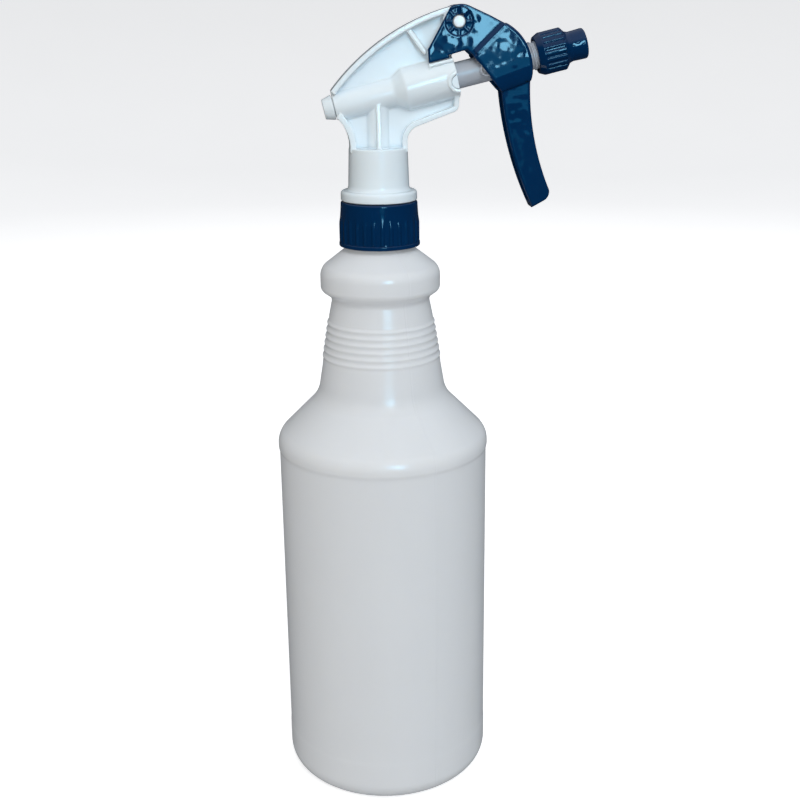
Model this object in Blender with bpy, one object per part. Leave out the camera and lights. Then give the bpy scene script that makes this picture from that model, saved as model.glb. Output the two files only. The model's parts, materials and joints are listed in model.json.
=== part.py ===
"""A trigger spray bottle with a reciprocating nozzle, as separate pieces.

Sizes in the script are millimetres; add() turns every finished mesh and place into metres.
+Z is up along the bottle's axis, the origin is the centre of its base, and the nozzle points to +X.
The pump's barrel leans up by BARREL_TILT: s is a distance along its axis, measured from the bottle's axis.
"""

import math

import bmesh
import bpy
from mathutils import Matrix, Vector

MM = 0.001
GAP = 0.3  # clearance between pieces that touch

# Bottle
BOTTLE_R = 44.45
PANEL_R = 44.3
WALL = 1.1
HEEL_RADIUS = 9.0
SHOULDER_Z = 156.6
NECK_CONE_Z = 174.5
RIB_COUNT = 6
RIB_PITCH = 2.82
RIB_HEIGHT = 0.5
FIRST_RIB_Z = 191.4
MOUTH_Z = 250.0
MOUTH_R = 10.75
FINISH_R = 12.65
THREAD_DEPTH = 1.1
THREAD_PITCH = 4.233
THREAD_START_Z = 238.6
THREAD_TURNS = 1.35

# Closure and the pieces that it clamps
CLOSURE_BOTTOM_Z = 237.2
CLOSURE_TOP_Z = 255.3
CLOSURE_R = 15.9
CLOSURE_RIBS = 28
FLANGE_Z = 255.6
FLANGE_TOP_Z = 259.6
FLANGE_R = 15.5
SPIGOT_R = 11.2
NECK_TOP_Z = 276.4

# Pump barrel and trigger
BARREL_TILT = math.radians(13.2)
BARREL_Z = 296.5
BARREL_REAR_S = -17.7
BARREL_FRONT_S = 32.0
REAR_R = 5.8
BARREL_R = 8.4
SPRING_BORE_R = 4.0
CHAMBER_R = 6.6
BUSHING_BORE_R = 7.2
CHAMBER_S = 11.0
BUSHING_S = 22.6
LEDGE_S = 22.0
LEDGE_H = 7.3
WEB_HALF = 1.2
RIM_HALF = 5.0
RIM_THICK = 2.0
PIVOT = (31.8, 324.5)
STUB_R = 2.3
TRUNNION_S = 43.8
TRUNNION_R = 2.5
TUBE_R = 5.2
TUBE_THREAD_PITCH = 2.1
TUBE_THREAD_DEPTH = 0.55
TUBE_THREAD_S = 61.0
TUBE_END_S = 73.0
NOZZLE_REAR_S = 65.0
NOZZLE_R = 8.3
NOZZLE_RIBS = 20
SNOUT_R = 5.9
NOZZLE_END_S = 85.5
BALL_R = 2.0


def clear_scene():
    for obj in list(bpy.data.objects):
        bpy.data.objects.remove(obj, do_unlink=True)


def material(name, colour, roughness, metallic=0.0, transmission=0.0):
    made = bpy.data.materials.new(name)
    made.use_nodes = True
    shader = made.node_tree.nodes["Principled BSDF"]
    shader.inputs["Base Color"].default_value = (*colour, 1.0)
    shader.inputs["Roughness"].default_value = roughness
    shader.inputs["Metallic"].default_value = metallic
    shader.inputs["Transmission Weight"].default_value = transmission
    made.diffuse_color = (*colour, 1.0)
    return made


def barrel_matrix():
    """Takes local Z to the barrel's axis and local -X to the side of it that faces up."""
    turn = Matrix.Rotation(math.pi / 2 - BARREL_TILT, 4, "Y")
    return Matrix.Translation((0, 0, BARREL_Z)) @ turn


def on_barrel(s, height):
    """(x, z) of the point at s along the barrel's axis and this height above it."""
    x = s * math.cos(BARREL_TILT) - height * math.sin(BARREL_TILT)
    z = BARREL_Z + s * math.sin(BARREL_TILT) + height * math.cos(BARREL_TILT)
    return x, z


def empty(name, matrix):
    obj = bpy.data.objects.new(name, None)
    obj.empty_display_size = 0.01
    bpy.context.scene.collection.objects.link(obj)
    obj.matrix_world = Matrix.Translation(matrix.translation * MM) @ matrix.to_3x3().to_4x4()
    return obj


def raw_object(bm, name="raw"):
    """The bmesh as an object whose mesh is still in millimetres."""
    bmesh.ops.recalc_face_normals(bm, faces=bm.faces)
    mesh = bpy.data.meshes.new(name)
    bm.to_mesh(mesh)
    bm.free()
    obj = bpy.data.objects.new(name, mesh)
    bpy.context.scene.collection.objects.link(obj)
    return obj


def combine(target, others, operation):
    """Runs one exact Boolean for each of the others and removes them."""
    for number, other in enumerate(others):
        step = target.modifiers.new(f"{operation}_{number}", "BOOLEAN")
        step.operation = operation
        step.solver = "EXACT"
        step.object = other
    bpy.context.view_layer.update()
    graph = bpy.context.evaluated_depsgraph_get()
    mesh = bpy.data.meshes.new_from_object(target.evaluated_get(graph))
    target.modifiers.clear()
    target.data = mesh
    for other in others:
        bpy.data.objects.remove(other, do_unlink=True)
    return target


def fuse(target, *others):
    return combine(target, others, "UNION")


def cut(target, *others):
    return combine(target, others, "DIFFERENCE")


def add(obj, name, look, parent=None, at=(0.0, 0.0, 0.0), smooth_below=35.0):
    """Finishes a raw object: metres, its name, material and place."""
    obj.name = name
    obj.data.name = name
    obj.data.transform(Matrix.Scale(MM, 4))
    obj.data.materials.clear()
    obj.data.materials.append(look)
    obj.data.shade_smooth()
    obj.data.set_sharp_from_angle(angle=math.radians(smooth_below))
    obj.parent = parent
    obj.location = Vector(at) * MM
    return obj


# Outlines


def arc(centre, radius, start_deg, end_deg, steps):
    """Points of an arc, both ends included."""
    angles = [math.radians(start_deg + (end_deg - start_deg) * i / steps) for i in range(steps + 1)]
    return [(centre[0] + radius * math.cos(a), centre[1] + radius * math.sin(a)) for a in angles]


def arc_through(a, b, c, steps):
    """Points of the arc from a through b to c, both ends included."""
    ax, ay = a
    bx, by = b
    cx, cy = c
    d = 2 * (ax * (by - cy) + bx * (cy - ay) + cx * (ay - by))
    a2, b2, c2 = ax * ax + ay * ay, bx * bx + by * by, cx * cx + cy * cy
    ux = (a2 * (by - cy) + b2 * (cy - ay) + c2 * (ay - by)) / d
    uy = (a2 * (cx - bx) + b2 * (ax - cx) + c2 * (bx - ax)) / d
    first = math.atan2(ay - uy, ax - ux)
    middle = (math.atan2(by - uy, bx - ux) - first) % (2 * math.pi)
    sweep = (math.atan2(cy - uy, cx - ux) - first) % (2 * math.pi)
    if middle > sweep:
        sweep -= 2 * math.pi
    start = math.degrees(first)
    return arc((ux, uy), math.hypot(ax - ux, ay - uy), start, start + math.degrees(sweep), steps)


def rounded(points, radii, steps=4):
    """An open outline with the corners between its ends rounded to these radii."""
    out = [points[0]]
    for before, corner, after, radius in zip(points, points[1:], points[2:], radii):
        a = Vector(before) - Vector(corner)
        b = Vector(after) - Vector(corner)
        half = a.angle(b) / 2
        length = radius / math.tan(half)
        start = Vector(corner) + a.normalized() * length
        end = Vector(corner) + b.normalized() * length
        centre = Vector(corner) + (a.normalized() + b.normalized()).normalized() * radius / math.sin(half)
        middle = centre + (Vector(corner) - centre).normalized() * radius
        out += arc_through(tuple(start), tuple(middle), tuple(end), steps)
    return out + [points[-1]]


def offset_line(points, distance):
    """The open line of points, moved sideways by distance to its left."""
    out = []
    for i, point in enumerate(points):
        before = Vector(points[max(i - 1, 0)])
        after = Vector(points[min(i + 1, len(points) - 1)])
        along = (after - before).normalized()
        out.append((point[0] - along.y * distance, point[1] + along.x * distance))
    return out


def ribbon(points, thickness):
    """A closed outline that follows the open line, with its thickness to the line's left."""
    return points + offset_line(points, thickness)[::-1]


def capsule(a, b, width):
    """A bar from a to b with round ends."""
    heading = math.degrees(math.atan2(b[1] - a[1], b[0] - a[0]))
    far_end = arc(b, width / 2, heading - 90, heading + 90, 6)
    near_end = arc(a, width / 2, heading + 90, heading + 270, 6)
    return far_end + near_end


# Solids in millimetres


def lathe(profile, steps, shape=None, place=None):
    """Turns (radius, height) points round Z. shape(radius, height, angle) gives each point's own radius.

    A profile that starts and ends on the axis closes there, and any other profile is joined end to start.
    """
    bm = bmesh.new()
    verts = [bm.verts.new((radius, 0, height)) for radius, height in profile]
    ends_on_axis = profile[0][0] == 0 and profile[-1][0] == 0
    pairs = list(zip(verts, verts[1:])) + ([] if ends_on_axis else [(verts[-1], verts[0])])
    edges = [bm.edges.new(pair) for pair in pairs]
    bmesh.ops.spin(
        bm,
        geom=verts + edges,
        cent=(0, 0, 0),
        axis=(0, 0, 1),
        angle=2 * math.pi,
        steps=steps,
        use_merge=True,
    )
    bmesh.ops.remove_doubles(bm, verts=bm.verts, dist=1e-4)
    if shape:
        for vert in bm.verts:
            radius = math.hypot(vert.co.x, vert.co.y)
            if radius > 1e-3:
                wanted = shape(radius, vert.co.z, math.atan2(vert.co.y, vert.co.x))
                vert.co.x *= wanted / radius
                vert.co.y *= wanted / radius
    if place:
        bm.transform(place)
    return raw_object(bm)


def cylinder(radius, low, high, steps=32, place=None):
    return lathe([(0, low), (radius, low), (radius, high), (0, high)], steps, place=place)


def sweep(points, travel):
    """A flat face through the points, extruded along travel."""
    bm = bmesh.new()
    face = bm.faces.new([bm.verts.new(point) for point in points])
    made = bmesh.ops.extrude_face_region(bm, geom=[face])
    moved = [item for item in made["geom"] if isinstance(item, bmesh.types.BMVert)]
    bmesh.ops.translate(bm, verts=moved, vec=travel)
    return raw_object(bm)


def prism(outline, low_y, high_y):
    """An outline of (x, z) points, extruded from low_y to high_y."""
    return sweep([(x, low_y, z) for x, z in outline], (0, high_y - low_y, 0))


def slab(outline, half):
    return prism(outline, -half, half)


def both_sides(outline, inner, outer):
    """The same prism on the near and the far side."""
    return [prism(outline, -outer, -inner), prism(outline, inner, outer)]


def disc_y(centre, radius, half, steps=32):
    """A round disc about Y, half thick each way."""
    return slab(arc(centre, radius, 0, 360 - 360 / steps, steps - 1), half)


def ball(radius, height):
    bm = bmesh.new()
    bmesh.ops.create_icosphere(bm, subdivisions=2, radius=radius)
    bmesh.ops.translate(bm, verts=bm.verts, vec=(0, 0, height))
    return raw_object(bm)


def ring(mean_r, section_r, height, steps=32, sides=8):
    return lathe(arc((mean_r, height), section_r, 0, 360 - 360 / sides, sides - 1), steps)


def coil(name, look, parent, radius, wire_r, low, high, turns, per_turn):
    """A compression spring about its parent's Z, as a curve with its end turns closed up."""
    curve = bpy.data.curves.new(name, "CURVE")
    curve.dimensions = "3D"
    curve.bevel_depth = wire_r * MM
    curve.bevel_resolution = 0
    curve.use_fill_caps = True
    count = turns * per_turn + 1
    spline = curve.splines.new("POLY")
    spline.points.add(count - 1)
    closed = 2.3 * wire_r
    for i in range(count):
        turn = i / per_turn
        middle = min(max(turn - 1, 0), turns - 2) / (turns - 2)
        end_turns = min(turn, 1) + max(turn - turns + 1, 0)
        height = low + wire_r + closed * end_turns + (high - low - 2 * wire_r - 2 * closed) * middle
        angle = 2 * math.pi * turn
        place = Vector((radius * math.cos(angle), radius * math.sin(angle), height)) * MM
        spline.points[i].co = (*place, 1.0)
    curve.materials.append(look)
    obj = bpy.data.objects.new(name, curve)
    bpy.context.scene.collection.objects.link(obj)
    obj.parent = parent
    return obj


def trapezoid(phase, top, base):
    """1 within top of the middle of a pitch, 0 beyond base, straight between."""
    away = abs(phase - 0.5)
    return min(max((base - away) / (base - top), 0.0), 1.0)


def thread_bump(angle, height, start, pitch, turns, top, base):
    """How far a screw thread stands out here, from 0 to 1. Its first and last tenth of a turn fade out."""
    rise = (height - start) / pitch - (angle % (2 * math.pi)) / (2 * math.pi)
    turn = math.floor(rise) + (angle % (2 * math.pi)) / (2 * math.pi)
    fade = min(max(min(turn, turns - turn) / 0.1, 0.0), 1.0)
    return fade * trapezoid(rise - math.floor(rise), top, base)


def levels(low, high, step):
    """Heights from low to high, evenly spaced by about step."""
    count = round((high - low) / step)
    return [low + (high - low) * i / count for i in range(count + 1)]


# Bottle, closure and what sits in the neck


def bottle_outside():
    heel = arc((BOTTLE_R - HEEL_RADIUS, HEEL_RADIUS), HEEL_RADIUS, -90, 0, 4)
    base = [(0, 0), (30, 0)]
    panel = [(BOTTLE_R, 19.2), (PANEL_R, 20.4), (PANEL_R, 150.2), (44.75, 151.4)]
    shoulder = rounded(
        [(44.75, 152.0), (44.75, SHOULDER_Z), (27.0, NECK_CONE_Z), (24.9, 187.0)], [8.0, 14.0], steps=3
    )
    ribs = []
    for number in range(RIB_COUNT):
        middle = FIRST_RIB_Z + number * RIB_PITCH
        base_r = 24.5 - 0.165 * (middle - 190)
        ribs += [
            (base_r + 0.15, middle - 1.1),
            (base_r + RIB_HEIGHT, middle - 0.3),
            (base_r + 0.35, middle + 0.4),
        ]
    collar = rounded(
        [(21.6, 208.0), (20.0, 215.8), (24.75, 219.2), (24.75, 227.9), (15.3, 235.2), (FINISH_R, 236.6)],
        [3.0, 2.6, 6.0, 2.0],
        steps=2,
    )
    finish = [(FINISH_R, z) for z in levels(237.4, 247.0, 0.8)]
    lip = [(FINISH_R, 249.3), (FINISH_R - 0.5, MOUTH_Z), (MOUTH_R, MOUTH_Z)]
    return base + heel + panel + shoulder + ribs + collar + finish + lip


def bottle_inside():
    inner_r = BOTTLE_R - WALL
    heel = arc((inner_r - 7.9, HEEL_RADIUS), 7.9, 0, -90, 3)
    return [
        (MOUTH_R, 236.4),
        (14.7, 234.2),
        (21.7, 228.9),
        (23.6, 225.4),
        (23.6, 220.6),
        (18.9, 216.0),
        (20.5, 207.6),
        (23.3, 189.0),
        (26.5, 173.4),
        (41.5, 158.1),
        (43.2, 152.0),
        *heel,
        (28.0, 1.7),
        (0, 2.6),
    ]


def bottle_thread(radius, height, angle):
    on_finish = abs(radius - FINISH_R) < 0.01 and 237.0 < height < 249.0
    if not on_finish:
        return radius
    bump = thread_bump(angle, height, THREAD_START_Z, THREAD_PITCH, THREAD_TURNS, 0.12, 0.27)
    return radius + THREAD_DEPTH * bump


def make_bottle(look):
    raw = lathe(bottle_outside() + bottle_inside(), 36, bottle_thread)
    return add(raw, "bottle", look)


def closure_ribs(radius, height, angle):
    """Rounded ribs down the skirt, standing out from it by half a millimetre."""
    if radius < CLOSURE_R - 0.01 or not 238.9 < height < 249.5:
        return radius
    wave = math.cos(CLOSURE_RIBS * angle)
    return radius + (0.5 if wave > 0.9 else 0.0)


def closure_thread(radius, height, angle):
    """The cavity's wall: wide all round, and closer in where the thread stands."""
    wide = FINISH_R + THREAD_DEPTH + GAP
    if abs(radius - wide) > 0.01 or not 238.3 < height < 248.5:
        return radius
    rise = (height - THREAD_START_Z) / THREAD_PITCH - (angle % (2 * math.pi)) / (2 * math.pi)
    groove = trapezoid(rise - math.floor(rise), 0.25, 0.40)
    return radius - THREAD_DEPTH * (1 - groove)


def make_closure(look):
    outside = [
        (0, CLOSURE_BOTTOM_Z),
        (CLOSURE_R + 0.3, CLOSURE_BOTTOM_Z),
        (CLOSURE_R + 0.65, CLOSURE_BOTTOM_Z + 0.5),
        (CLOSURE_R + 0.65, 238.7),
        (CLOSURE_R, 239.1),
        (CLOSURE_R, 249.4),
        (CLOSURE_R - 0.1, 249.9),
        (CLOSURE_R - 0.3, 254.6),
        (CLOSURE_R - 0.9, CLOSURE_TOP_Z),
        (0, CLOSURE_TOP_Z),
    ]
    body = lathe(outside, CLOSURE_RIBS * 3, closure_ribs)
    wide = FINISH_R + THREAD_DEPTH + GAP
    cavity = [(0, 236.0), (wide + 0.3, 236.0), (wide + 0.3, 237.9)]
    cavity += [(wide, z) for z in levels(238.2, 248.6, 0.8)]
    cavity += [(wide, 253.5), (0, 253.5)]
    cutter = lathe(cavity, 30, closure_thread)
    hole = cylinder(SPIGOT_R + GAP, 252.0, 256.0, 30)
    raw = cut(body, cutter, hole)
    return add(raw, "closure", look)


def make_bottle_gasket(look):
    raw = lathe([(10.4, 250.3), (13.3, 250.3), (13.3, 251.5), (10.4, 251.5)], 28)
    return add(raw, "bottle_gasket", look)


def make_neck_insert(look):
    """The tube socket and foot valve, with the flange that traps the closure under the sprayer."""
    profile = [
        (5.0, 245.0),
        (5.0, 251.8),
        (13.2, 251.8),
        (13.2, 253.2),
        (9.0, 253.2),
        (9.0, 266.4),
        (8.4, 267.0),
        (1.6, 267.0),
        (1.6, 264.2),
        (2.7, 263.6),
        (2.7, 259.6),
        (1.3, 258.0),
        (1.3, 256.6),
        (3.3, 256.6),
        (3.3, 245.0),
    ]
    return add(lathe(profile, 24), "neck_insert", look)


def make_inlet_ball(look):
    return add(ball(BALL_R, 0), "inlet_ball", look, at=(0, 0, 260.0))


def make_dip_tube(look):
    raw = lathe([(2.1, 8.5), (3.0, 8.5), (3.0, 256.3), (2.1, 256.3)], 16)
    return add(raw, "dip_tube", look)


def make_strainer(look):
    """A push-on cap with slots below the tube's end."""
    profile = [(0, 4.6), (3.6, 4.6), (4.2, 5.2), (4.2, 15.0), (3.3, 15.0), (3.3, 6.0), (0, 6.0)]
    raw = lathe(profile, 20)
    slots = []
    for number in range(3):
        slot = prism([(-6, 6.4), (6, 6.4), (6, 8.0), (-6, 8.0)], -0.6, 0.6)
        slot.data.transform(Matrix.Rotation(number * math.pi / 3, 4, "Z"))
        slots.append(slot)
    return add(cut(raw, *slots), "dip_tube_strainer", look)


# Sprayer body


def top_edge():
    return arc_through((-18.6, 298.6), (2.9, 318.5), (29.1, 330.2), 11)


def left_edge():
    return arc_through((-16.6, 288.6), (-12.9, 283.6), (-11.5, 275.0), 6)


def right_edge():
    """From the neck up its fillet, along the gusset and round the corner under the barrel's front."""
    line = [(11.5, 275.0), (11.5, 283.4), (31.9, 290.8), on_barrel(31.8, -6.5)]
    return rounded(line, [6.0, 2.6], steps=4)


def body_outline():
    """The flat web in the middle plane: neck, under the barrel, round the pivot and back over the top."""
    lobe = arc(PIVOT, 6.1, -48, 112, 8)
    to_pivot = [on_barrel(27.0, 2.0), on_barrel(31.0, 7.0)]
    return left_edge() + right_edge() + to_pivot + lobe + top_edge()[::-1]


def riser_fin(side):
    """The fin down this side of the riser, deeper at the neck than at the barrel."""
    outline = [(3.5, 294.0), (5.2, 294.0), (5.7, 291.0), (8.9, 276.0), (3.5, 276.0)]
    return sweep([(-0.85, side * y, z) for y, z in outline], (1.7, 0, 0))


def bar_outline(start, end, low, high):
    """A rectangle in the barrel's own directions."""
    return [on_barrel(start, low), on_barrel(end, low), on_barrel(end, high), on_barrel(start, high)]


def lug_outline(radius, front):
    """A half disc whose straight side is at this s, by the barrel's front edge."""
    tilt = math.degrees(BARREL_TILT)
    return arc(on_barrel(front, -1.8), radius, 90 + tilt, 270 + tilt, 10)


def make_sprayer_body(look):
    barrel = barrel_matrix()
    neck = [
        (0, 253.5),
        (SPIGOT_R, 253.5),
        (SPIGOT_R, FLANGE_Z),
        (FLANGE_R - 0.3, FLANGE_Z),
        (FLANGE_R, FLANGE_Z + 0.4),
        (FLANGE_R, FLANGE_Z + 2.6),
        (FLANGE_R - 0.4, FLANGE_Z + 3.4),
        (FLANGE_R - 1.3, FLANGE_TOP_Z),
        (13.2, FLANGE_TOP_Z + 0.2),
        (12.4, FLANGE_TOP_Z + 1.2),
        (11.85, NECK_TOP_Z),
        (0, NECK_TOP_Z),
    ]
    shell = [
        (0, BARREL_REAR_S),
        (5.2, BARREL_REAR_S),
        (REAR_R, -12.0),
        (REAR_R, 6.0),
        (6.4, 7.4),
        (7.9, 10.2),
        (BARREL_R, 11.8),
        (BARREL_R, BARREL_FRONT_S),
        (0, BARREL_FRONT_S),
    ]
    rib = capsule((12.0, 321.9), (18.5, 313.2), 1.9)
    body = fuse(
        slab(body_outline(), WEB_HALF),
        slab(ribbon(top_edge()[::-1], RIM_THICK), RIM_HALF),
        slab(ribbon(left_edge(), RIM_THICK + 0.4), RIM_HALF),
        slab(ribbon(right_edge(), RIM_THICK), RIM_HALF),
        slab(rib, RIM_HALF - 0.6),
        disc_y(PIVOT, 6.2, RIM_HALF - 0.05, 28),
        disc_y(PIVOT, STUB_R, 7.0, 20),
        lathe(shell, 32, place=barrel),
        slab(bar_outline(LEDGE_S, BARREL_FRONT_S - 0.1, 6.0, LEDGE_H), 7.0),
        slab(bar_outline(LEDGE_S - 0.1, LEDGE_S + 0.9, 4.0, LEDGE_H - 0.1), 6.9),
        slab(lug_outline(4.3, BARREL_FRONT_S - 0.06), 8.8),
        cylinder(4.5, 272.0, 295.0, 24),
        riser_fin(-1),
        riser_fin(1),
        lathe(neck, 40),
    )
    chamber = [
        (0, BARREL_REAR_S - 3),
        (SPRING_BORE_R, BARREL_REAR_S - 3),
        (SPRING_BORE_R, CHAMBER_S - 1),
        (CHAMBER_R, CHAMBER_S),
        (CHAMBER_R, BUSHING_S),
        (BUSHING_BORE_R, BUSHING_S),
        (BUSHING_BORE_R, BARREL_FRONT_S + 3),
        (0, BARREL_FRONT_S + 3),
    ]
    raw = cut(
        body,
        lathe(chamber, 24, place=barrel),
        cylinder(9.0 + GAP, 250.0, 268.5, 24),
        cylinder(1.6, 267.0, BARREL_Z - 1.0, 12),
        *both_sides(arc(on_barrel(BARREL_FRONT_S - 0.1, -1.8), 2.8, 0, 342, 19), 5.5, 10.0),
    )
    return add(raw, "sprayer_body", look)


# Fixed pieces of the pump


def make_rear_plug(look, axis):
    profile = [
        (0, -22.0),
        (3.5, -22.0),
        (4.0, -21.5),
        (4.8, -18.8),
        (4.9, BARREL_REAR_S - GAP),
        (3.7, BARREL_REAR_S - GAP),
        (3.7, -14.6),
        (2.2, -14.6),
        (1.8, -10.5),
        (0, -10.5),
    ]
    return add(lathe(profile, 28), "rear_plug", look, axis)


def make_front_bushing(look, axis):
    """The collar that the piston tube slides in, held by two lugs in the barrel's half-round notches."""
    raw = lathe([(5.5, 22.9), (6.9, 22.9), (6.9, 31.8), (5.5, 31.8)], 28)
    lugs = both_sides(lug_outline(2.5, 31.7), 6.2, 8.5)
    for lug in lugs:
        lug.data.transform(barrel_matrix().inverted())
    return add(fuse(raw, *lugs), "front_bushing", look, axis)


# Pieces that slide with the piston tube


def tube_thread(radius, height, angle):
    on_thread = abs(radius - TUBE_R + 0.05) < 0.02 and height > TUBE_THREAD_S
    if not on_thread:
        return radius
    turns = (TUBE_END_S - TUBE_THREAD_S) / TUBE_THREAD_PITCH - 0.9
    bump = thread_bump(angle, height, TUBE_THREAD_S, TUBE_THREAD_PITCH, turns, 0.1, 0.3)
    return radius + TUBE_THREAD_DEPTH * bump


def make_piston_tube(look, axis):
    outside = [(1.6, 19.5), (4.0, 19.5), (4.0, 23.0), (TUBE_R, 23.0), (TUBE_R, TUBE_THREAD_S - 0.5)]
    outside += [(TUBE_R - 0.05, z) for z in levels(TUBE_THREAD_S, TUBE_END_S - 0.6, 0.5)]
    outside += [(TUBE_R - 0.5, TUBE_END_S), (2.7, TUBE_END_S)]
    inside = [(2.7, 61.6), (1.3, 60.0), (1.3, 58.6), (2.0, 58.0), (2.0, 24.0)]
    raw = lathe(outside + inside, 20, tube_thread)
    turn = Matrix.Translation((0, 0, TRUNNION_S)) @ Matrix.Rotation(math.pi / 2, 4, "X")
    trunnions = cylinder(TRUNNION_R, -7.0, 7.0, 20, turn)
    bore = cylinder(2.3, 30.0, 55.0, 16)
    rims = [cylinder(1.6, low, low + 2.0, 16, turn) for low in (-8.4, 6.4)]
    return add(cut(fuse(raw, trunnions), bore, *rims), "piston_tube", look, axis)


def make_piston_head(look, axis):
    profile = [
        (4.3, 20.0),
        (5.6, 20.0),
        (6.1, 20.3),
        (6.1, 20.6),
        (4.95, 20.6),
        (4.95, 22.2),
        (6.2, 22.2),
        (6.2, 22.7),
        (4.3, 22.7),
    ]
    return add(lathe(profile, 24), "piston_head", look, axis)


def make_piston_seal(look, axis):
    return add(ring(5.78, 0.5, 21.4, 24, 6), "piston_seal", look, axis)


def make_outlet_ball(look, axis):
    return add(ball(BALL_R, 0), "outlet_ball", look, axis, at=(0, 0, 62.0))


def make_swirl_insert(look, axis):
    """The spinner: it plugs into the tube's end and reaches to the nozzle's orifice."""
    profile = [
        (0, 68.4),
        (2.4, 68.4),
        (2.4, 73.3),
        (4.6, 73.3),
        (4.6, 74.4),
        (3.4, 74.4),
        (3.3, 82.2),
        (2.6, 82.8),
        (0, 82.8),
    ]
    raw = lathe(profile, 20)
    slots = [
        prism([(-6, 74.9), (6, 74.9), (6, 85.0), (-6, 85.0)], 2.6, 4.0),
        prism([(-6, 74.9), (6, 74.9), (6, 85.0), (-6, 85.0)], -4.0, -2.6),
    ]
    return add(cut(raw, *slots), "swirl_insert", look, axis)


# Nozzle


def nozzle_ribs(radius, height, angle):
    if radius < NOZZLE_R - 0.01 or not 67.7 < height < 76.0:
        return radius
    return radius - (0.0 if math.cos(NOZZLE_RIBS * angle) > 0.0 else 0.45)


def nozzle_thread(radius, height, angle):
    wide = TUBE_R - 0.05 + TUBE_THREAD_DEPTH + GAP
    if abs(radius - wide) > 0.01 or not 67.2 < height < 71.9:
        return radius
    rise = (height - TUBE_THREAD_S) / TUBE_THREAD_PITCH - (angle % (2 * math.pi)) / (2 * math.pi)
    groove = trapezoid(rise - math.floor(rise), 0.24, 0.44)
    return radius - TUBE_THREAD_DEPTH * (1 - groove)


def make_nozzle_cap(look, axis):
    outside = [
        (0, NOZZLE_REAR_S),
        (6.9, NOZZLE_REAR_S),
        (7.3, NOZZLE_REAR_S + 0.4),
        (NOZZLE_R, 67.3),
        (NOZZLE_R, 67.8),
        (NOZZLE_R, 75.9),
        (NOZZLE_R - 0.6, 76.6),
        (SNOUT_R + 0.5, 77.7),
        (SNOUT_R - 0.1, 78.8),
        (SNOUT_R + 0.1, 84.2),
        (SNOUT_R - 0.4, 85.2),
        (SNOUT_R - 1.0, NOZZLE_END_S),
        (0, NOZZLE_END_S),
    ]
    body = lathe(outside, NOZZLE_RIBS * 3, nozzle_ribs)
    wide = TUBE_R - 0.05 + TUBE_THREAD_DEPTH + GAP
    cavity = [(0, 60.0), (wide + 0.3, 60.0), (wide + 0.3, 66.8)]
    cavity += [(wide, z) for z in levels(67.1, 72.0, 0.48)]
    cavity += [(wide, 75.3), (3.8, 75.3), (3.8, 83.2), (0.5, 83.6), (0.5, 84.1), (1.6, 87.0), (0, 87.0)]
    raw = cut(body, lathe(cavity, 20, nozzle_thread))
    return add(raw, "nozzle_cap", look, axis)


def make_nozzle_seal(look, axis):
    return add(ring(4.15, 0.38, 74.86, 20, 6), "nozzle_seal", look, axis)


# Trigger


def from_pivot(points):
    return [(x - PIVOT[0], z - PIVOT[1]) for x, z in points]


def shoulder_outline():
    """The trigger's upper part, from its tail on the ledge round the pivot to the groove."""
    foot = LEDGE_H + GAP
    tail = [
        on_barrel(22.2, foot),
        on_barrel(30.5, foot),
        on_barrel(30.5, foot + 1.1),
        (34.9, 313.9),
        (38.0, 311.2),
    ]
    crown = arc_through((28.4, 329.9), (31.8, 331.0), (36.6, 330.0), 5)
    return tail + [(51.4, 322.9), (44.2, 326.6)] + crown[::-1] + [(19.5, 314.1)]


def yoke_outline():
    """The wider part that straddles the tube, from the groove down to the step above the handle."""
    front = arc_through((60.6, 301.8), (61.0, 308.0), (50.2, 323.9), 9)
    return [(37.3, 311.3), (38.4, 310.1), (45.2, 302.0), (49.0, 297.7)] + front


def handle_front():
    return arc_through((60.6, 301.0), (62.5, 280.5), (69.3, 258.6), 10)


def handle_back():
    return arc_through((62.2, 251.6), (53.6, 274.0), (48.9, 298.0), 10)


def handle_outline():
    tip = arc_through((69.3, 258.6), (69.0, 256.2), (67.6, 254.5), 3)
    return handle_front()[:-1] + tip + handle_back() + [(52.0, 301.0)]


def tube_slot():
    """Room for the tube and its thread at every angle of the trigger, open at the front."""
    return [
        (37.9, 311.4),
        (50.6, 323.0),
        (54.0, 328.0),
        (72.0, 324.0),
        (72.0, 307.4),
        (59.6, 304.6),
        (59.4, 301.6),
        (49.5, 299.5),
        (42.0, 297.0),
        (33.0, 309.0),
    ]


def trunnion_slot():
    """The slot that the tube's trunnion slides in, along the line from the pivot to it."""
    x, z = on_barrel(TRUNNION_S, 0)
    along = Vector((x - PIVOT[0], z - PIVOT[1])).normalized()
    across = Vector((-along.y, along.x)) * (TRUNNION_R + 0.42)
    near, far = [Vector(PIVOT) + along * reach for reach in (16.8, 24.2)]
    return [tuple(near - across), tuple(far - across), tuple(far + across), tuple(near + across)]


def spoked_recess():
    """The shallow ring round each pivot stub, crossed by eight spokes, as wedge outlines."""
    wedges = []
    for number in range(8):
        start = 45 * number + 6
        outer = arc(PIVOT, 5.6, start, start + 33, 4)
        inner = arc(PIVOT, STUB_R + 0.9, start + 6, start + 27, 2)
        wedges.append(from_pivot(outer + inner[::-1]))
    return wedges


def knuckle_wedge(side):
    """Slopes the yoke's side in towards the handle, over the last few millimetres above the step."""
    low, high = Vector((49.0, 297.7)), Vector((60.6, 301.8))
    along = (high - low).normalized()
    up = Vector((-along.y, along.x))
    start = low - along * 4
    points = []
    for rise, reach in ((0.0, 5.6), (0.0, 12.0), (4.4, 12.0), (4.4, 8.3), (2.2, 7.4)):
        x, z = start + up * rise
        points.append((x - PIVOT[0], side * reach, z - PIVOT[1]))
    travel = along * 20
    return sweep(points, (travel.x, 0, travel.y))


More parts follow.
